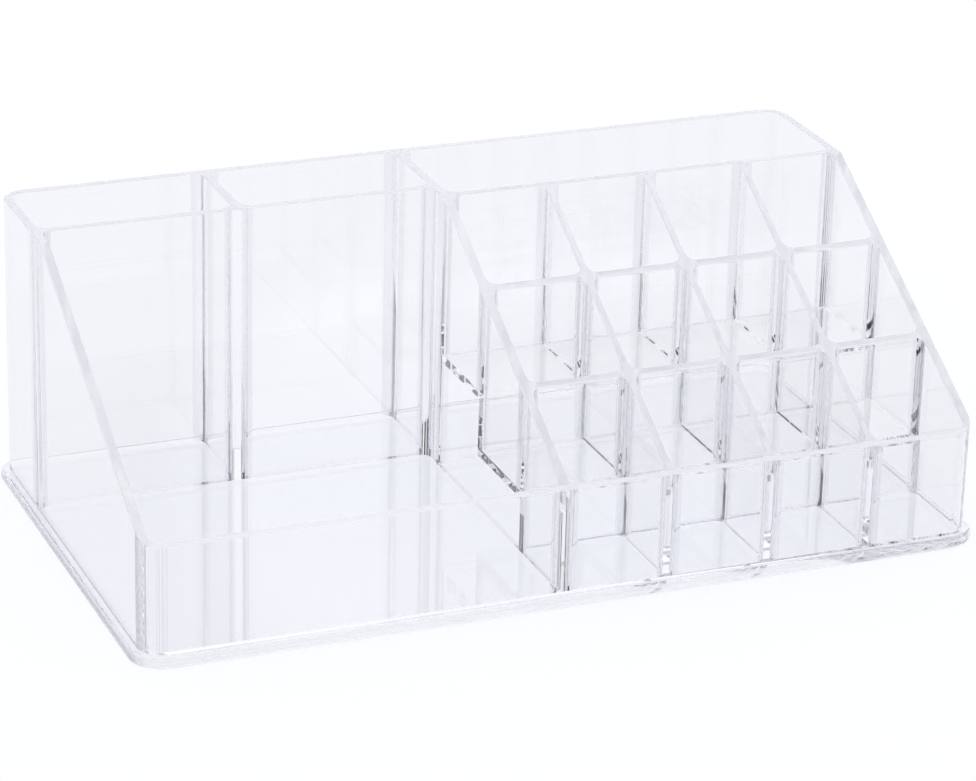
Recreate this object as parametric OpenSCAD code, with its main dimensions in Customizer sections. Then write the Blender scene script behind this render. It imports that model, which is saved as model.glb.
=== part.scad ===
// Clear countertop organizer with sixteen open compartments.
// Two tall bins stand at the back left, with an open tray in front of them.
// A long channel runs along the back right, behind twelve stepped slots.
// Millimetres. Origin at the middle of the underside, front towards -Y, +Z up.

/* [Base] */
// Thickness of the base sheet
base_t = 3.2; // [2:0.2:6]
// Width of the ledge that the base shows outside the walls
ledge = 2.2; // [1:0.2:6]

/* [Walls] */
// Thickness of the outer walls and of the main inner walls
wall_t = 2.4; // [1.6:0.2:4]
// Outer radius of the four upright corners
corner_r = 6.5; // [5:0.5:10]
// Least radius inside the four upright corners
inside_r = 2.5; // [1:0.5:4]
// Height of the back and of the level part of the side walls
back_h = 77; // [64:1:100]
// Height of the front wall
front_h = 31; // [24:1:44]

/* [Slots] */
// Inside width of one slot
slot_w = 25.5; // [18:0.5:34]
// Inside depth of one slot, front to back
slot_d = 25.5; // [18:0.5:34]
// Thickness of the slot dividers and of the two step walls
divider_t = 1.8; // [1.2:0.2:3]
// Rise of the slot floors from one row to the next
step_rise = 15.4; // [8:0.1:20]
// Thickness of the two raised slot floors
shelf_t = 2.2; // [1.2:0.2:3]

/* [Bins] */
// Inside width of each tall bin
bin_w = 50.3; // [30:0.5:80]
// Inside depth of the tall bins, front to back
bin_d = 26.1; // [20:0.5:40]

/* [Channel] */
// Inside depth of the channel behind the slots
channel_d = 33.3; // [20:0.5:50]

/* [Hidden] */
$fn = 64;

// Overrun of a cutting or trimming block past what it trims
over = 1;

// The staircase has four slots in each of its front, middle and rear rows
slot_columns = 4;
slot_rows = 3;
slot_pitch_x = slot_w + divider_t;
slot_pitch_y = slot_d + divider_t;
slots_w = slot_columns * slot_pitch_x - divider_t;
slots_d = slot_rows * slot_pitch_y - divider_t;

// Outside of the walls, in plan
walls_w = 2 * wall_t + 2 * bin_w + 2 * wall_t + slots_w;
walls_d = wall_t + slots_d + wall_t + channel_d + wall_t;
left_x = -walls_w / 2;
right_x = walls_w / 2;
front_y = -walls_d / 2;
back_y = walls_d / 2;

// The walls thin a little round the corners, where the inside bends more tightly
inner_corner_r = max(inside_r, corner_r - 2 * wall_t);

// Base sheet
base_w = walls_w + 2 * ledge;
base_d = walls_d + 2 * ledge;
base_corner_r = corner_r + ledge;

// Inner faces, from left to right
inner_left_x = left_x + wall_t;
bin_divider_x = inner_left_x + bin_w;
middle_wall_x = bin_divider_x + wall_t + bin_w;
slots_x = middle_wall_x + wall_t;
inner_right_x = right_x - wall_t;

// Inner faces, from front to back
inner_front_y = front_y + wall_t;
slot_rear_wall_y = inner_front_y + slots_d;
inner_back_y = back_y - wall_t;
bin_front_wall_y = inner_back_y - bin_d - wall_t;
lower_step_wall_y = inner_front_y + slot_d;
upper_step_wall_y = lower_step_wall_y + slot_pitch_y;

// Tops of the three slot floors
front_floor_z = base_t;
middle_floor_z = front_floor_z + step_rise;
rear_floor_z = middle_floor_z + step_rise;

// Height of every wall's top at a place front to back: level over the front wall,
// a straight slope over the slots, then level from the wall behind the slots
function top_z(y) =
    y >= slot_rear_wall_y ? back_h :
    y <= inner_front_y ? front_h :
    front_h + (back_h - front_h) * (y - inner_front_y) / (slot_rear_wall_y - inner_front_y);

// Rectangle with round corners, centred, made of true arcs
module rounded_plan(w, d, r) {
    square([w - 2 * r, d], center = true);
    square([w, d - 2 * r], center = true);
    for (sx = [-1, 1])
        for (sy = [-1, 1])
            translate([sx * (w / 2 - r), sy * (d / 2 - r)])
                circle(r = r);
}

// Plan of the outer walls, one sheet bent round the four corners
module walls_plan() {
    difference() {
        rounded_plan(walls_w, walls_d, corner_r);
        rounded_plan(walls_w - 2 * wall_t, walls_d - 2 * wall_t, inner_corner_r);
    }
}

// Upright sheet that runs front to back and follows the sloping top line
module sloped_sheet(x, t, y_from, y_to, z_from) {
    bends = [for (y = [inner_front_y, slot_rear_wall_y]) if (y > y_from && y < y_to) y];
    top_ys = concat([y_from], bends, [y_to]);
    outline = concat(
        [[y_to, z_from], [y_from, z_from]],
        [for (y = top_ys) [y, top_z(y)]]
    );
    translate([x, 0, 0])
        rotate([90, 0, 90])
            linear_extrude(height = t)
                polygon(outline);
}

// Upright sheet across the width, with its top trimmed to the sloping top line
module cross_sheet(x_from, x_to, y, t, z_from) {
    translate([x_from, 0, 0])
        rotate([90, 0, 90])
            linear_extrude(height = x_to - x_from)
                polygon([
                    [y, z_from],
                    [y + t, z_from],
                    [y + t, top_z(y + t)],
                    [y, top_z(y)]
                ]);
}

// Flat sheet on which things stand
module floor_sheet(x_from, x_to, y_from, y_to, z_top, t) {
    translate([x_from, y_from, z_top - t])
        cube([x_to - x_from, y_to - y_from, t]);
}

// Divider between two neighbouring slots, counted from the left
module slot_divider(column, y_from, y_to, z_from) {
    x = slots_x + column * slot_pitch_x - divider_t;
    color("azure", 0.5)
        sloped_sheet(x, divider_t, y_from, y_to, z_from);
}

// The column's dividers stand in each row between that row's front and rear sheets
module front_divider(column) {
    slot_divider(column, inner_front_y, lower_step_wall_y, front_floor_z);
}

module middle_divider(column) {
    slot_divider(column, lower_step_wall_y + divider_t, upper_step_wall_y, middle_floor_z);
}

module rear_divider(column) {
    slot_divider(column, upper_step_wall_y + divider_t, slot_rear_wall_y, rear_floor_z);
}

// One flat sheet under everything, with the ledge all round
module base_plate() {
    color("aliceblue", 0.6)
        linear_extrude(height = base_t)
            rounded_plan(base_w, base_d, base_corner_r);
}

// Full-height back, bent forward at both ends
module back_wall() {
    color("azure", 0.5)
        intersection() {
            translate([0, 0, base_t])
                linear_extrude(height = back_h - base_t)
                    walls_plan();
            translate([left_x - over, back_y - corner_r, 0])
                cube([walls_w + 2 * over, corner_r + over, back_h + over]);
        }
}

// Low front, bent back at both ends, where its top starts to climb
module front_wall() {
    color("azure", 0.5)
        intersection() {
            translate([0, 0, base_t])
                linear_extrude(height = back_h - base_t)
                    walls_plan();
            sloped_sheet(left_x - over, walls_w + 2 * over, front_y - over, front_y + corner_r, 0);
        }
}

module left_wall() {
    color("azure", 0.5)
        sloped_sheet(left_x, wall_t, front_y + corner_r, back_y - corner_r, base_t);
}

module right_wall() {
    color("azure", 0.5)
        sloped_sheet(inner_right_x, wall_t, front_y + corner_r, back_y - corner_r, base_t);
}

// Parts the bins and the tray from the channel and the slots
module middle_wall() {
    color("azure", 0.5)
        sloped_sheet(middle_wall_x, wall_t, inner_front_y, inner_back_y, base_t);
}

module bin_front_wall() {
    color("azure", 0.5)
        cross_sheet(inner_left_x, middle_wall_x, bin_front_wall_y, wall_t, base_t);
}

module bin_divider() {
    color("azure", 0.5)
        sloped_sheet(bin_divider_x, wall_t, bin_front_wall_y + wall_t, inner_back_y, base_t);
}

module slot_rear_wall() {
    color("azure", 0.5)
        cross_sheet(slots_x, inner_right_x, slot_rear_wall_y, wall_t, base_t);
}

// Closes the step between the front and the middle row
module lower_step_wall() {
    color("azure", 0.5)
        cross_sheet(slots_x, inner_right_x, lower_step_wall_y, divider_t, base_t);
}

// Stands on the middle floor and closes the step up to the rear row
module upper_step_wall() {
    color("azure", 0.5)
        cross_sheet(slots_x, inner_right_x, upper_step_wall_y, divider_t, middle_floor_z);
}

module middle_slot_floor() {
    color("aliceblue", 0.6)
        floor_sheet(
            slots_x, inner_right_x,
            lower_step_wall_y + divider_t, upper_step_wall_y + divider_t,
            middle_floor_z, shelf_t
        );
}

module rear_slot_floor() {
    color("aliceblue", 0.6)
        floor_sheet(
            slots_x, inner_right_x,
            upper_step_wall_y + divider_t, slot_rear_wall_y,
            rear_floor_z, shelf_t
        );
}

base_plate();
back_wall();
front_wall();
left_wall();
right_wall();
middle_wall();
bin_front_wall();
bin_divider();
slot_rear_wall();
lower_step_wall();
upper_step_wall();
middle_slot_floor();
rear_slot_floor();
front_divider(1);  // front_divider_left
front_divider(2);  // front_divider_centre
front_divider(3);  // front_divider_right
middle_divider(1);  // middle_divider_left
middle_divider(2);  // middle_divider_centre
middle_divider(3);  // middle_divider_right
rear_divider(1);  // rear_divider_left
rear_divider(2);  // rear_divider_centre
rear_divider(3);  // rear_divider_right
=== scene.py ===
import math
import bpy
import bmesh
import numpy as np
from mathutils import Matrix, Vector
from mathutils.geometry import delaunay_2d_cdt


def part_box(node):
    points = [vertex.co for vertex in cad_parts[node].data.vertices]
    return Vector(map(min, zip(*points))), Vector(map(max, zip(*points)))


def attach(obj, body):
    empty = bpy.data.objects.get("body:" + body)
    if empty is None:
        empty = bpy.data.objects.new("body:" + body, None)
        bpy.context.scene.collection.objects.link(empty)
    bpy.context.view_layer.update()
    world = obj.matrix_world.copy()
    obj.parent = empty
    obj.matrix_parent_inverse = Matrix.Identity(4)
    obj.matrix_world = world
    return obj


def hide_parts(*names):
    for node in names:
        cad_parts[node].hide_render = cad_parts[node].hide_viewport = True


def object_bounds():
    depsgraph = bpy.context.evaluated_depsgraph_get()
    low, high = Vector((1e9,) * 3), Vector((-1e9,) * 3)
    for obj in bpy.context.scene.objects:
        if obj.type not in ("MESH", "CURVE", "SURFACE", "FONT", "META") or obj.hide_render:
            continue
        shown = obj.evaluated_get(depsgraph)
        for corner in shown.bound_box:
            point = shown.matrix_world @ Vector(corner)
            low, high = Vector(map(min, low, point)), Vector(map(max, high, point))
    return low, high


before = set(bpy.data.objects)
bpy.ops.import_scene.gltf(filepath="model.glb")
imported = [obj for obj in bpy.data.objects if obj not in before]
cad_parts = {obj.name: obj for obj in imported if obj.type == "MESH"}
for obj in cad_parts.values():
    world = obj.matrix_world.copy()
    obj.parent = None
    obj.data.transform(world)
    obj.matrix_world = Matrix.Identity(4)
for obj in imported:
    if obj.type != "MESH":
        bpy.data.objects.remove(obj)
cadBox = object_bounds()
mm = 0.001
print("frame loaded,", len(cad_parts), "sheets")


def linearColour(hexText):
    # sRGB hex to linear: the usual power curve, with its straight toe below 0.04045
    c = np.array([int(hexText[i:i + 2], 16) for i in (1, 3, 5)]) / 255
    lin = np.where(c <= 0.04045, c / 12.92, ((c + 0.055) / 1.055) ** 2.4)
    return (*lin.tolist(), 1.0)


def addNode(tree, kind, settings=None, links=None):
    # settings go to attributes, or to inputs where the key is an input's name or number
    node = tree.nodes.new(kind)
    for key, value in (settings or {}).items():
        if isinstance(key, str) and hasattr(node, key):
            setattr(node, key, value)
        else:
            node.inputs[key].default_value = value
    for key, source in (links or {}).items():
        tree.links.new(source, node.inputs[key])
    return node


def newMaterial(name):
    made = bpy.data.materials.new(name)
    made.use_nodes = True
    made.node_tree.nodes.clear()
    return made, made.node_tree


camera = {
    "place": (-0.35475, -0.85650, 0.42007),
    "yaw": 22.558,       # degrees to the right of straight in
    "pitch": -22.695,
    "roll": 1.535,
    "lens": 146.88,
    "frameWidth": 36,    # mm, as the lens
    "near": 0.02,
    "beyond": 50,
}


def makeCamera():
    data = bpy.data.cameras.new("camera")
    data.sensor_width = camera["frameWidth"]
    data.lens = camera["lens"]
    data.clip_start, data.clip_end = camera["near"], camera["beyond"]
    eye = bpy.data.objects.new("camera", data)
    turn = (Matrix.Rotation(-math.radians(camera["yaw"]), 4, "Z")
            @ Matrix.Rotation(math.radians(90 + camera["pitch"]), 4, "X")
            @ Matrix.Rotation(math.radians(camera["roll"]), 4, "Z"))
    eye.matrix_world = Matrix.Translation(camera["place"]) @ turn
    bpy.context.scene.collection.objects.link(eye)
    bpy.context.scene.camera = eye


makeCamera()


acrylic = {
    "ior": 1.54,                # 1.49 by the book, matched to the mirrored streaks in the tray
    "waveDetail": 1.0,
    "waveRough": 0.4,
    "grainLength": 0.9 * mm,    # faint haze of handling, drawn coarse enough to show
    "grainDetail": 3.0,
    "grainRough": 0.6,
    "grainSpan": (0.45, 0.75),  # part of the noise that goes from smooth to rough
    "shadowTint": "#f7f8fb",
}
# each finish: tint, lowest and highest roughness, clear share (the rest is frosted), and the
# length and height of its surface's unevenness
finishes = {
    "clear_moulded_acrylic": ("#fefefe", 0, 0.012, 1.0, (38 * mm, 0.006 * mm)),
    # the corner beads' grey tint is painted shade: it stands in for the darkness that falls in the
    # pockets' corners, not a colour of the plastic
    "corner_bead_painted_shade": ("#ebecef", 0, 0.02, 1.0, (38 * mm, 0.006 * mm)),
    "scraped_acrylic_edge": ("#f3f3f4", 0.08, 0.25, 0.5, (3 * mm, 0.08 * mm)),
}


def clearAcrylic(name):
    # Clear moulded acrylic: colourless, polished, bends what is behind it and mirrors a little
    tint, roughLow, roughHigh, clearShare, (length, height) = finishes[name]
    made, tree = newMaterial(name)
    place = addNode(tree, "ShaderNodeTexCoord")
    wave = addNode(tree, "ShaderNodeTexNoise",
                   {"Scale": 1 / length, "Detail": acrylic["waveDetail"],
                    "Roughness": acrylic["waveRough"]},
                   {"Vector": place.outputs["Object"]})
    bump = addNode(tree, "ShaderNodeBump", {"Distance": height},
                   {"Height": wave.outputs["Fac"]})
    grain = addNode(tree, "ShaderNodeTexNoise",
                    {"Scale": 1 / acrylic["grainLength"], "Detail": acrylic["grainDetail"],
                     "Roughness": acrylic["grainRough"]},
                    {"Vector": place.outputs["Object"]})
    rough = addNode(tree, "ShaderNodeMapRange",
                    {"From Min": acrylic["grainSpan"][0], "From Max": acrylic["grainSpan"][1],
                     "To Min": roughLow, "To Max": roughHigh},
                    {"Value": grain.outputs["Fac"]})
    plastic = addNode(tree, "ShaderNodeBsdfPrincipled",
                      {"Base Color": linearColour(tint), "IOR": acrylic["ior"],
                       "Transmission Weight": clearShare},
                      {"Roughness": rough.outputs["Result"], "Normal": bump.outputs["Normal"]})
    # lamps and the floor's own light pass straight through, so that the shadow stays pale
    path = addNode(tree, "ShaderNodeLightPath")
    either = addNode(tree, "ShaderNodeMath", {"operation": "MAXIMUM"},
                     {0: path.outputs["Is Shadow Ray"], 1: path.outputs["Is Diffuse Ray"]})
    clear = addNode(tree, "ShaderNodeBsdfTransparent", {"Color": linearColour(acrylic["shadowTint"])})
    mix = addNode(tree, "ShaderNodeMixShader", {},
                  {0: either.outputs[0], 1: plastic.outputs[0], 2: clear.outputs[0]})
    addNode(tree, "ShaderNodeOutputMaterial", {}, {"Surface": mix.outputs[0]})
    return made


def bondedJoint():
    # Where two sheets are welded the plastic runs through, so nothing shows there
    made, tree = newMaterial("bonded_joint")
    clear = addNode(tree, "ShaderNodeBsdfTransparent", {"Color": linearColour("#ffffff")})
    addNode(tree, "ShaderNodeOutputMaterial", {}, {"Surface": clear.outputs[0]})
    return made


# the third material, on the corner fillets, carries painted shade in its greyer tint
sheetMaterials = [clearAcrylic("clear_moulded_acrylic"), bondedJoint(),
                  clearAcrylic("corner_bead_painted_shade"), clearAcrylic("scraped_acrylic_edge")]


edges = {
    "topRound": 0.35 * mm,     # rounding of every open top edge
    "roundSteps": 4,           # faces across such a rounding
    "baseRound": 1.4 * mm,     # rounding of the base's upper and lower edge
    "baseSteps": 8,
    "bendSteps": 24,           # faces round a quarter turn of the bent corners
    "innerBend": 2.5 * mm,     # radius inside the bent corners
    "blend": 0.2 * mm,         # over which a rounding runs out at a junction
    "air": 0.03 * mm,          # hair of air under the inner walls and the back wall
    "filletSteps": 8,
    "binFillet": 2.5 * mm,     # radius of the fillets in the large pockets' corners
    "slotFillet": 2.0 * mm,
}
# how near counts as touching, and where a face or an edge looks for its neighbours
near = {
    "same": 1e-6,
    "ahead": 0.02 * mm,
    "beside": 0.03 * mm,
    "below": 0.1 * mm,
    "decimals": 7,
    "topTilt": 0.3,        # least upward share of the normal of a top edge's face
    "topDepth": 1.0 * mm,  # and how far below the top line its middle may lie
    "flatMerge": 1e-4,     # mm, where the feet's lines meet in the base's top
}
# kinds of face, in the order of sheetMaterials
clearFace, jointFace, filletFace, topFace = range(4)
shading = {"sharpAngle": 25, "flatWeight": 100}

box = {name: np.round([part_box(name)[0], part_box(name)[1]], near["decimals"])
       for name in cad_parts}
outerLow = np.array([box["left_wall"][0][0], box["front_wall"][0][1]])
outerHigh = np.array([box["right_wall"][1][0], box["back_wall"][1][1]])
wallT = box["left_wall"][1][0] - box["left_wall"][0][0]
bendR = box["left_wall"][0][1] - outerLow[1]
baseTop = box["base_plate"][1][2]
wallFoot = baseTop + edges["air"]
innerFrontY = box["middle_wall"][0][1]
slotRearY = box["slot_rear_wall"][0][1]
backTop = box["slot_rear_wall"][1][2]
stepTop = box["lower_step_wall"][1]
rise = (backTop - stepTop[2]) / (slotRearY - stepTop[1])
frontTop = backTop - rise * (slotRearY - innerFrontY)


def topHeight(y):
    # level over the front wall, a straight slope over the slots, level at the back
    return np.interp(y, [innerFrontY, slotRearY], [frontTop, backTop])


def arcPoints(centre, radius, start, end, steps):
    # points at equal angles on a circle, in plan
    a = np.radians(np.linspace(start, end, steps + 1))
    return np.asarray(centre) + radius * np.stack([np.cos(a), np.sin(a)], -1)


def roundedOutline(low, high, radius, steps):
    # rectangle in plan with quarter circles at its corners, anticlockwise
    (x0, y0), (x1, y1) = np.asarray(low) + radius, np.asarray(high) - radius
    corners = [((x0, y0), 180), ((x1, y0), 270), ((x1, y1), 0), ((x0, y1), 90)]
    return np.concatenate([arcPoints(c, radius, a, a + 90, steps) for c, a in corners])


def bentWallEdges(side, straightX):
    # outer and inner edge of a wall bent at both ends: side is -1 at the front and 1 at the back
    # reach is how far the edge lies from the outer bend's centre; its own arc may be tighter
    yCentre = (outerLow[1] if side < 0 else outerHigh[1]) - side * bendR
    pair = []
    for reach, radius in ((bendR, bendR), (bendR - wallT, edges["innerBend"])):
        arc = arcPoints((radius - reach, reach - radius), radius, 180, 90, edges["bendSteps"])
        left = np.concatenate([[(-reach, 0)], arc, [(0, reach)]])
        right = left[::-1] * (-1, 1)
        middle = np.stack([straightX, np.full(len(straightX), reach)], -1)
        line = np.concatenate([left + (outerLow[0] + bendR, 0), middle,
                               right + (outerHigh[0] - bendR, 0)])
        line[:, 1] = yCentre + side * line[:, 1]
        pair.append(line)
    return pair


# each upright sheet's way of running; the bent walls are added below
straight = {
    "left_wall": "y", "right_wall": "y", "middle_wall": "y", "bin_divider": "y",
    "bin_front_wall": "x", "slot_rear_wall": "x", "lower_step_wall": "x", "upper_step_wall": "x",
}
for row in ("front", "middle", "rear"):
    for column in ("left", "centre", "right"):
        straight[f"{row}_divider_{column}"] = "y"

# pockets: the sheets that bound each one (left, right, front, rear), the height of its floor, its
# corner radius, and the sheet that carries each corner's fillet (front left, front right, rear
# right, rear left); None is a corner that the bent wall itself forms
binR, slotR = edges["binFillet"], edges["slotFillet"]
pockets = [
    (("left_wall", "bin_divider", "bin_front_wall", "back_wall"), "base_plate", binR,
     ("bin_front_wall", "bin_divider", "bin_divider", None)),
    (("bin_divider", "middle_wall", "bin_front_wall", "back_wall"), "base_plate", binR,
     ("bin_divider", "bin_front_wall", "middle_wall", "bin_divider")),
    (("left_wall", "middle_wall", "front_wall", "bin_front_wall"), "base_plate", binR,
     (None, "middle_wall", "bin_front_wall", "bin_front_wall")),
    (("middle_wall", "right_wall", "slot_rear_wall", "back_wall"), "base_plate", binR,
     ("slot_rear_wall", "slot_rear_wall", None, "middle_wall")),
]
rows = [("front", "front_wall", "lower_step_wall", "base_plate"),
        ("middle", "lower_step_wall", "upper_step_wall", "middle_slot_floor"),
        ("rear", "upper_step_wall", "slot_rear_wall", "rear_slot_floor")]
for row, ahead, behind, floor in rows:
    uprights = ["middle_wall", *(f"{row}_divider_{c}" for c in ("left", "centre", "right")), "right_wall"]
    for left, right in zip(uprights, uprights[1:]):
        frontOwner = "middle_wall" if row == "front" else ahead
        owners = [left if "divider" in left else frontOwner,
                  right if "divider" in right else (None if row == "front" else ahead),
                  right if "divider" in right else behind,
                  left if "divider" in left else behind]
        pockets.append(((left, right, ahead, behind), floor, slotR, owners))


def innerFace(name, axis, end):
    # where a bounding sheet's face looks into the pocket: end 1 is its far side, 0 its near side
    if name in ("front_wall", "back_wall"):
        return innerFrontY if name == "front_wall" else box["middle_wall"][1][1]
    return box[name][end][axis]


# every solid in plan: outline, lowest and highest place; highest None follows the sloping top
solids = {}


def addSolid(name, outline, low, high=None):
    solids[name] = {"outline": np.asarray(outline), "low": low, "high": high}


for name in straight:
    (x0, y0, z0), (x1, y1, _) = box[name]
    inner = z0 < wallFoot and "divider_" not in name and name not in ("left_wall", "right_wall")
    low = wallFoot if inner else z0
    addSolid(name, [(x0, y0), (x1, y0), (x1, y1), (x0, y1)], low)
for name, side in (("front_wall", -1), ("back_wall", 1)):
    outer, inner = bentWallEdges(side, np.array([]))
    addSolid(name, np.concatenate([outer, inner[::-1]]), wallFoot if side > 0 else baseTop)
for name in ("middle_slot_floor", "rear_slot_floor"):
    (x0, y0, z0), (x1, y1, z1) = box[name]
    addSolid(name, [(x0, y0), (x1, y0), (x1, y1), (x0, y1)], z0, z1)
baseLow, baseHigh = box["base_plate"][0], box["base_plate"][1]
baseR = bendR + (outerLow[0] - baseLow[0])
baseOutline = roundedOutline(baseLow[:2], baseHigh[:2], baseR, edges["bendSteps"])
addSolid("base_plate", baseOutline, baseLow[2], baseTop)

fillets = {}
for number, (bounding, floor, radius, owners) in enumerate(pockets):
    left, right, ahead, behind = bounding
    x0, x1 = innerFace(left, 0, 1), innerFace(right, 0, 0)
    y0, y1 = innerFace(ahead, 1, 1), innerFace(behind, 1, 0)
    floorZ = box[floor][1][2]
    for corner, (x, y, dx, dy) in enumerate(((x0, y0, 1, 1), (x1, y0, -1, 1),
                                             (x1, y1, -1, -1), (x0, y1, 1, -1))):
        if owners[corner] is None:
            continue
        # the concave quarter circle runs from one leg's end to the other's
        a = np.radians(np.linspace(0, 90, edges["filletSteps"] + 1))
        arc = np.stack([x + dx * radius * (1 - np.sin(a)), y + dy * radius * (1 - np.cos(a))], -1)
        label = f"fillet_{number}_{corner}"
        addSolid(label, np.concatenate([[(x, y)], arc]), max(floorZ, wallFoot))
        fillets.setdefault(owners[corner], []).append(label)
print(len(pockets), "pockets,", sum(map(len, fillets.values())), "corner fillets")


def insideOutline(points, outline):
    # even-odd rule: count the outline's edges to the right of each point
    x, y = points[:, 0, None], points[:, 1, None]
    a, b = outline, np.roll(outline, -1, 0)
    spans = (a[:, 1] > y) != (b[:, 1] > y)
    height = np.where(b[:, 1] == a[:, 1], 1.0, b[:, 1] - a[:, 1])
    crossX = a[:, 0] + (y - a[:, 1]) * (b[:, 0] - a[:, 0]) / height
    return (spans & (x < crossX)).sum(1) % 2 == 1


def insideOther(points, own):
    # True where a point lies in any solid but the one named
    found = np.zeros(len(points), bool)
    for name, s in solids.items():
        if name != own:
            high = topHeight(points[:, 1]) if s["high"] is None else s["high"]
            level = (points[:, 2] > s["low"]) & (points[:, 2] < high)
            if level.any():
                found[level] |= insideOutline(points[level], s["outline"])
    return found


def touching(own):
    # boxes in plan of the solids that touch this one
    margin = near["ahead"]
    low, high = solids[own]["outline"].min(0) - margin, solids[own]["outline"].max(0) + margin
    for name, s in solids.items():
        a, b = s["outline"].min(0), s["outline"].max(0)
        if name != own and (a < high).all() and (b > low).all():
            yield name, a, b


def cleanShell(verts, faces, own, cutsZ=(), cutsX=(), cutsY=()):
    # merges doubles, cuts the shell along planes, turns faces outwards and sorts them by kind
    bm = bmesh.new()
    made = [bm.verts.new(v) for v in verts]
    for f in faces:
        bm.faces.new([made[i] for i in f])
    bmesh.ops.remove_doubles(bm, verts=bm.verts, dist=near["same"])
    bmesh.ops.dissolve_degenerate(bm, edges=bm.edges, dist=near["same"])
    for axis, places in enumerate((cutsX, cutsY, cutsZ)):
        normal = [float(axis == i) for i in range(3)]
        for place in sorted(set(places)):
            bmesh.ops.bisect_plane(bm, geom=bm.verts[:] + bm.edges[:] + bm.faces[:],
                                   dist=near["same"], plane_co=[place * n for n in normal],
                                   plane_no=normal)
    bmesh.ops.recalc_face_normals(bm, faces=bm.faces)
    bm.verts.index_update()
    centres = np.array([f.calc_center_median() for f in bm.faces])
    normals = np.array([f.normal for f in bm.faces])
    kind = np.full(len(centres), filletFace if own.startswith("fillet") else clearFace)
    followsTop = solids[own]["high"] is None
    looksUp = normals[:, 2] > near["topTilt"]
    nearTop = centres[:, 2] > topHeight(centres[:, 1]) - near["topDepth"]
    kind[followsTop & looksUp & nearTop] = topFace
    kind[insideOther(centres + normals * near["ahead"], own)] = jointFace
    shell = (np.array([v.co for v in bm.verts]), [[v.index for v in f.verts] for f in bm.faces], kind)
    bm.free()
    return shell


def sheetShell(own, outer, inner, low, outerRound, innerRound, cutsZ=()):
    # A profile carried along the sheet. At each station it goes up the outer edge, over the top
    # by two quarter circles of that station's radii, and down the inner edge.
    n = edges["roundSteps"]
    turn = np.radians(np.linspace(0, 90, n + 1))
    across = inner - outer
    across = across / np.linalg.norm(across, axis=1, keepdims=True)

    def overTop(edge, inward, radius):
        # from radius below the top at the face to the top at radius in from it
        inset = radius[:, None] * (1 - np.cos(turn))
        plan = edge[:, None, :] + inward[:, None, :] * inset[..., None]
        z = topHeight(plan[..., 1]) - radius[:, None] * (1 - np.sin(turn))
        return np.concatenate([plan, z[..., None]], -1)

    foot = [np.concatenate([e, np.full((len(e), 1), low)], -1)[:, None] for e in (outer, inner)]
    rim = overTop(outer, across, outerRound), overTop(inner, -across, innerRound)[:, ::-1]
    grid = np.concatenate([foot[0], rim[0], rim[1], foot[1]], 1)
    count, ring = grid.shape[:2]
    index = np.arange(count * ring).reshape(count, ring)
    nextRing = np.roll(index, -1, 1)
    quads = np.stack([index[:-1], nextRing[:-1], nextRing[1:], index[1:]], -1).reshape(-1, 4)
    faces = [*quads.tolist(), index[0].tolist(), index[-1].tolist()]
    return cleanShell(grid.reshape(-1, 3), faces, own, cutsZ)


def edgeRadius(edge, away, own):
    # no rounding where another sheet or a fillet stands against this edge
    radius = np.full(len(edge), edges["topRound"])
    step = np.gradient(edge, axis=0)
    step = step / np.maximum(np.linalg.norm(step, axis=1, keepdims=True), near["same"] * mm)
    for shift in (-1, 0, 1):
        plan = edge + away * near["ahead"] + step * shift * near["beside"]
        points = np.concatenate([plan, topHeight(plan[:, 1])[:, None] - near["below"]], -1)
        radius[insideOther(points, own)] = 0
    return radius


def stationsAlong(low, high, marks):
    # the marks between the ends, each with a station just before and after it
    marks = np.asarray(sorted(marks))
    every = np.concatenate([marks, marks - edges["blend"], marks + edges["blend"], [low, high]])
    every = np.round(every[(every >= low) & (every <= high)], near["decimals"])
    return np.unique(every)


def slabCuts(own):
    # heights at which floors meet this sheet
    cuts = []
    for name, _, _ in touching(own):
        if solids[name]["high"] is not None and name != "base_plate":
            cuts += [solids[name]["low"], solids[name]["high"]]
        elif solids[name]["low"] > wallFoot + near["same"]:
            cuts.append(solids[name]["low"])
    return [z for z in cuts if z > solids[own]["low"] + near["same"]]


def straightSheet(own):
    axis = 1 if straight[own] == "y" else 0
    low, high = box[own]
    marks = {float(v[axis]) for _, a, b in touching(own) for v in (a, b)}
    if axis == 1:
        marks |= {innerFrontY, slotRearY}
    along = stationsAlong(low[axis], high[axis], marks)
    pair = []
    for side in (low, high):
        line = np.full((len(along), 2), side[1 - axis])
        line[:, axis] = along
        pair.append(line)
    away = np.zeros((len(along), 2))
    away[:, 1 - axis] = 1
    radii = edgeRadius(pair[0], -away, own), edgeRadius(pair[1], away, own)
    return sheetShell(own, pair[0], pair[1], solids[own]["low"], radii[0], radii[1], slabCuts(own))


def bentSheet(own, side):
    low, high = outerLow[0] + bendR, outerHigh[0] - bendR
    marks = {float(v[0]) for _, a, b in touching(own) for v in (a, b)}
    along = stationsAlong(low, high, marks)[1:-1]
    outer, inner = bentWallEdges(side, along)
    away = (outer - inner) / np.linalg.norm(outer - inner, axis=1, keepdims=True)
    radii = np.full(len(outer), edges["topRound"]), edgeRadius(inner, -away, own)
    return sheetShell(own, outer, inner, solids[own]["low"], radii[0], radii[1], slabCuts(own))


def filletShell(label):
    # a prism on the fillet's outline, from its floor up to the sloping top
    outline, low = solids[label]["outline"], solids[label]["low"]
    n = len(outline)
    bottom = np.concatenate([outline, np.full((n, 1), low)], -1)
    top = np.concatenate([outline, topHeight(outline[:, 1])[:, None]], -1)
    i, j = np.arange(n), np.roll(np.arange(n), -1)
    quads = np.stack([i, j, j + n, i + n], -1)
    faces = [*quads.tolist(), i[::-1].tolist(), (i + n).tolist()]
    return cleanShell(np.concatenate([bottom, top]), faces, label)


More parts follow.
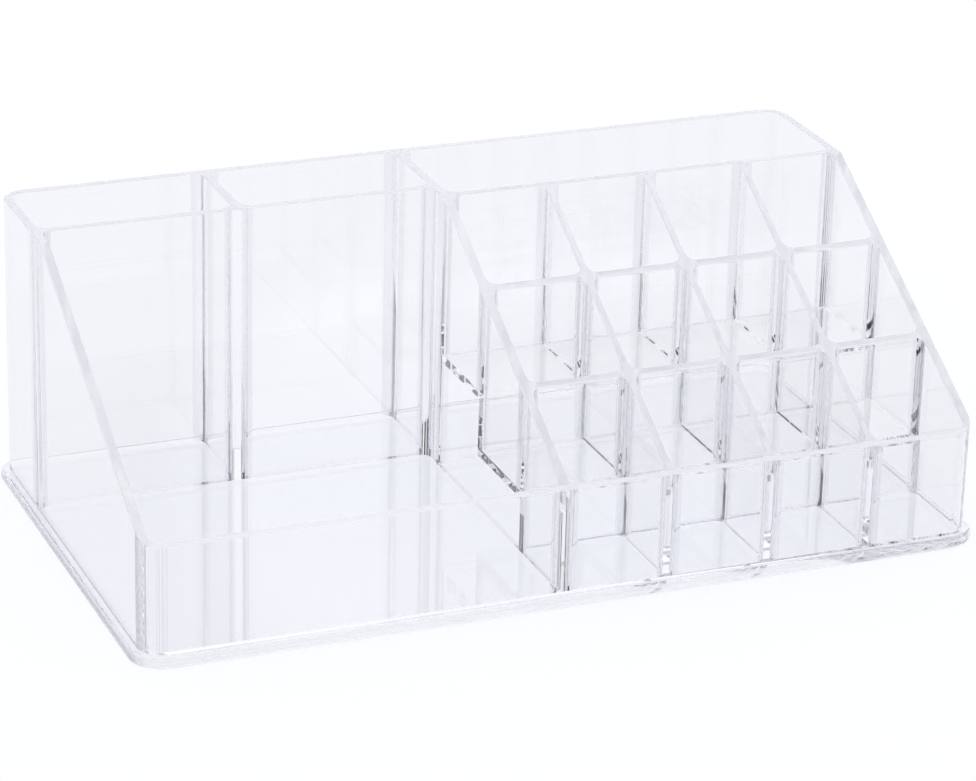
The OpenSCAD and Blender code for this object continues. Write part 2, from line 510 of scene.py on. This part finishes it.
def slabShell(own):
    (x0, y0, z0), (x1, y1, z1) = box[own]
    verts = [(x, y, z) for z in (z0, z1) for y in (y0, y1) for x in (x0, x1)]
    faces = [(0, 1, 3, 2), (4, 5, 7, 6), (0, 1, 5, 4), (2, 3, 7, 6), (0, 2, 6, 4), (1, 3, 7, 5)]
    corners = [v for _, a, b in touching(own) for v in (a, b)]
    cutsX = [v[0] for v in corners if x0 < v[0] < x1]
    cutsY = [v[1] for v in corners if y0 < v[1] < y1]
    return cleanShell(verts, faces, own, (), cutsX, cutsY)


def baseShell():
    # the base's edge is a quarter circle, a flat band and a quarter circle carried round its
    # outline; its top is cut along the foot of everything that stands on it
    r, n = edges["baseRound"], edges["baseSteps"]
    turn = np.radians(np.linspace(0, 90, n + 1))
    inset = np.concatenate([r * (1 - np.sin(turn)), r * (1 - np.cos(turn))])
    height = np.concatenate([baseLow[2] + r * (1 - np.cos(turn)), baseTop - r * (1 - np.sin(turn))])
    rings = []
    for off, z in zip(inset, height):
        plan = roundedOutline(baseLow[:2] + off, baseHigh[:2] - off, baseR - off, edges["bendSteps"])
        rings.append(np.concatenate([plan, np.full((len(plan), 1), z)], -1))
    grid = np.stack(rings)
    count, ring = grid.shape[:2]
    index = np.arange(count * ring).reshape(count, ring)
    nextRing = np.roll(index, -1, 1)
    quads = np.stack([index[:-1], nextRing[:-1], nextRing[1:], index[1:]], -1).reshape(-1, 4)
    standing = [s for name, s in solids.items()
                if name != "base_plate" and s["low"] < wallFoot + near["same"]]
    prints = [grid[-1][:, :2]] + [s["outline"] for s in standing]
    points, links = [], []
    for foot in prints:
        start = len(points)
        points += [Vector(p) for p in (foot / mm).tolist()]
        links += [(start + i, start + (i + 1) % len(foot)) for i in range(len(foot))]
    wholeTop = 0
    flat, _, cells, *_ = delaunay_2d_cdt(points, links, [], wholeTop, near["flatMerge"])
    top = np.array([[p.x * mm, p.y * mm, baseTop] for p in flat])
    verts = np.concatenate([grid.reshape(-1, 3), top])
    faces = [*quads.tolist(), index[0].tolist(), *[[i + count * ring for i in c] for c in cells]]
    return cleanShell(verts, faces, "base_plate")


def makePiece(node, shells):
    # joins closed shells into one object; a face's kind picks its material
    offsets = np.cumsum([0] + [len(s[0]) for s in shells])
    verts = np.concatenate([s[0] for s in shells])
    faces = [[i + off for i in f] for s, off in zip(shells, offsets) for f in s[1]]
    kind = np.concatenate([s[2] for s in shells])
    mesh = bpy.data.meshes.new("clear_" + node)
    mesh.from_pydata(verts.tolist(), [], faces)
    for material in sheetMaterials:
        mesh.materials.append(material)
    mesh.polygons.foreach_set("material_index", kind.astype(np.int32))
    mesh.polygons.foreach_set("use_smooth", np.ones(len(faces), bool))
    mesh.set_sharp_from_angle(angle=math.radians(shading["sharpAngle"]))
    mesh.update()
    piece = bpy.data.objects.new("clear_" + node, mesh)
    bpy.context.scene.collection.objects.link(piece)
    weighted = piece.modifiers.new("flat_faces_stay_flat", "WEIGHTED_NORMAL")
    weighted.mode = "FACE_AREA"
    weighted.weight = shading["flatWeight"]
    weighted.keep_sharp = True
    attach(piece, "root")
    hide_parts(node)
    return piece


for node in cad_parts:
    if node == "base_plate":
        shells = [baseShell()]
    elif node in ("front_wall", "back_wall"):
        shells = [bentSheet(node, -1 if node == "front_wall" else 1)]
    elif node in straight:
        shells = [straightSheet(node)]
    else:
        shells = [slabShell(node)]
    shells += [filletShell(label) for label in fillets.get(node, [])]
    piece = makePiece(node, shells)
    print(piece.name, len(piece.data.polygons), "faces,",
          int(sum((s[2] == jointFace).sum() for s in shells)), "of them joints")


studio = {
    "floor": "#fdfdfd",
    "floorHalf": 6.0,         # m from its middle to its edge
    "floorGap": 0.05 * mm,    # below the base
    "floorGlow": 0.72,        # share of its own light that eyes, mirrors and clear plastic see
    "light": "#f9faff",       # faintly blue lamps, a shade over plain white in the picture
    "level": 1.06,            # of every light together, so that the paper comes out white
    "far": (0.384, 0.923),    # the way the camera looks, in plan
    "backLevel": 1.1,         # softbox and white sheet behind the object
    "frontLevel": 0.5,        # dimmer room on the camera's side
    "sheetLevel": 1.0,        # lit sheet that stands far behind, at the height of the gap
    "gapFrom": (0.27, 0.33),  # sines of the heights between which no lamp stands
    "gapTo": (0.50, 0.56),
    "backFrom": (-0.2, 0.7),  # how squarely a direction faces the far side
    "sheetFrom": (0.3, 0.95),
    "bounces": 160,           # light runs a long way inside the sheets before it leaves at an edge
    "jointBounces": 512,      # and passes many joints
    # the next keys paint light into the floor's glow, which no lamp casts: mirrors and clear plastic find
    # the table ahead of the object dimmer and a long patch behind it brighter
    "tableFrom": (-160 * mm, -70 * mm),  # where the table ahead of the object falls off
    "tableLevel": 0.85,       # and how bright mirrors and clear plastic then find it
    "litSpot": (26 * mm, 32 * mm),   # middle of the long lit patch on the table
    "litTurn": -22.6,         # degrees by which its long side is turned
    "litStretch": 2.1,        # how much longer it is than wide
    "litSpan": (68 * mm, 104 * mm),  # how far to its side the light falls off
    "unlitLevel": 0.905,      # and how bright clear plastic then finds the table
}


def smoothShare(tree, value, span, low=0.0, high=1.0):
    # low before the span, high after it, an S curve between
    return addNode(tree, "ShaderNodeMapRange",
                   {"From Min": span[0], "From Max": span[1], "To Min": low, "To Max": high,
                    "interpolation_type": "SMOOTHSTEP"}, {"Value": value}).outputs["Result"]


def makeFloor():
    # a wide square, a hair under the base
    half, z = studio["floorHalf"], cadBox[0].z - studio["floorGap"]
    mesh = bpy.data.meshes.new("floor")
    corners = [(-half, -half, z), (half, -half, z), (half, half, z), (-half, half, z)]
    mesh.from_pydata(corners, [], [(0, 1, 2, 3)])
    floor = bpy.data.objects.new("floor", mesh)
    bpy.context.scene.collection.objects.link(floor)
    made, tree = newMaterial("white_paper_floor")
    path = addNode(tree, "ShaderNodeLightPath")
    seen = addNode(tree, "ShaderNodeMath", {"operation": "MAXIMUM"},
                   {0: path.outputs["Is Camera Ray"], 1: path.outputs["Is Glossy Ray"]})
    seen = addNode(tree, "ShaderNodeMath", {"operation": "MAXIMUM"},
                   {0: seen.outputs[0], 1: path.outputs["Is Transmission Ray"]})
    share = addNode(tree, "ShaderNodeMath", {"operation": "MULTIPLY", 1: studio["floorGlow"]},
                    {0: seen.outputs[0]})
    paper = addNode(tree, "ShaderNodeBsdfDiffuse", {"Color": linearColour(studio["floor"])})
    where = addNode(tree, "ShaderNodeTexCoord")
    depth = addNode(tree, "ShaderNodeSeparateXYZ", {}, {0: where.outputs["Object"]}).outputs["Y"]
    # painted shade on the table ahead of the object and a painted lit patch behind it, in the glow that
    # mirrors and clear plastic see
    table = smoothShare(tree, depth, studio["tableFrom"], studio["tableLevel"] * studio["level"],
                        studio["level"])
    patch = addNode(tree, "ShaderNodeMapping",
                    {"vector_type": "TEXTURE", "Location": (*studio["litSpot"], cadBox[0].z),
                     "Rotation": (0, 0, math.radians(studio["litTurn"])),
                     "Scale": (1, studio["litStretch"], 1)}, {"Vector": where.outputs["Object"]})
    away = addNode(tree, "ShaderNodeVectorMath", {"operation": "LENGTH"},
                   {0: patch.outputs["Vector"]}).outputs["Value"]
    behind = smoothShare(tree, away, studio["litSpan"], 1.0, studio["unlitLevel"])
    both = addNode(tree, "ShaderNodeMath", {"operation": "MULTIPLY"}, {0: table, 1: behind})
    strength = addNode(tree, "ShaderNodeMix", {"data_type": "FLOAT", 3: studio["level"]},
                       {0: path.outputs["Is Camera Ray"], 2: both.outputs[0]})
    glow = addNode(tree, "ShaderNodeEmission", {"Color": linearColour(studio["light"])},
                   {"Strength": strength.outputs[0]})
    mix = addNode(tree, "ShaderNodeMixShader", {},
                  {0: share.outputs[0], 1: paper.outputs[0], 2: glow.outputs[0]})
    addNode(tree, "ShaderNodeOutputMaterial", {}, {"Surface": mix.outputs[0]})
    mesh.materials.append(made)


def makeWorld():
    # Plain white for eyes and for matt things. Mirrors and clear plastic meet a studio that is
    # bright behind and overhead, dimmer in front, with a dark gap all round just above the table.
    world = bpy.data.worlds.new("studio")
    world.use_nodes = True
    tree = world.node_tree
    tree.nodes.clear()
    path = addNode(tree, "ShaderNodeLightPath")
    where = addNode(tree, "ShaderNodeTexCoord")
    facing = addNode(tree, "ShaderNodeVectorMath",
                     {"operation": "DOT_PRODUCT", 1: (*studio["far"], 0)},
                     {0: where.outputs["Generated"]}).outputs["Value"]
    height = addNode(tree, "ShaderNodeSeparateXYZ", {}, {0: where.outputs["Generated"]}).outputs["Z"]
    room = smoothShare(tree, facing, studio["backFrom"], studio["frontLevel"], studio["backLevel"])
    sheet = smoothShare(tree, facing, studio["sheetFrom"], 0, studio["sheetLevel"])
    gap = addNode(tree, "ShaderNodeMath", {"operation": "SUBTRACT"},
                  {0: smoothShare(tree, height, studio["gapFrom"]),
                   1: smoothShare(tree, height, studio["gapTo"])}).outputs[0]
    met = addNode(tree, "ShaderNodeMix", {"data_type": "FLOAT"}, {0: gap, 2: room, 3: sheet}).outputs[0]
    through = addNode(tree, "ShaderNodeMath", {"operation": "MAXIMUM"},
                      {0: path.outputs["Is Glossy Ray"], 1: path.outputs["Is Transmission Ray"]})
    share = addNode(tree, "ShaderNodeMix", {"data_type": "FLOAT", 2: 1.0},
                    {0: through.outputs[0], 3: met}).outputs[0]
    strength = addNode(tree, "ShaderNodeMath", {"operation": "MULTIPLY", 1: studio["level"]}, {0: share})
    back = addNode(tree, "ShaderNodeBackground", {"Color": linearColour(studio["light"])},
                   {"Strength": strength.outputs[0]})
    addNode(tree, "ShaderNodeOutputWorld", {}, {"Surface": back.outputs[0]})
    bpy.context.scene.world = world


makeFloor()
makeWorld()

scene = bpy.context.scene
scene.view_settings.view_transform = "Standard"
scene.cycles.max_bounces = studio["bounces"]
scene.cycles.transmission_bounces = studio["bounces"]
scene.cycles.glossy_bounces = studio["bounces"]
scene.cycles.transparent_max_bounces = studio["jointBounces"]
print("studio ready")
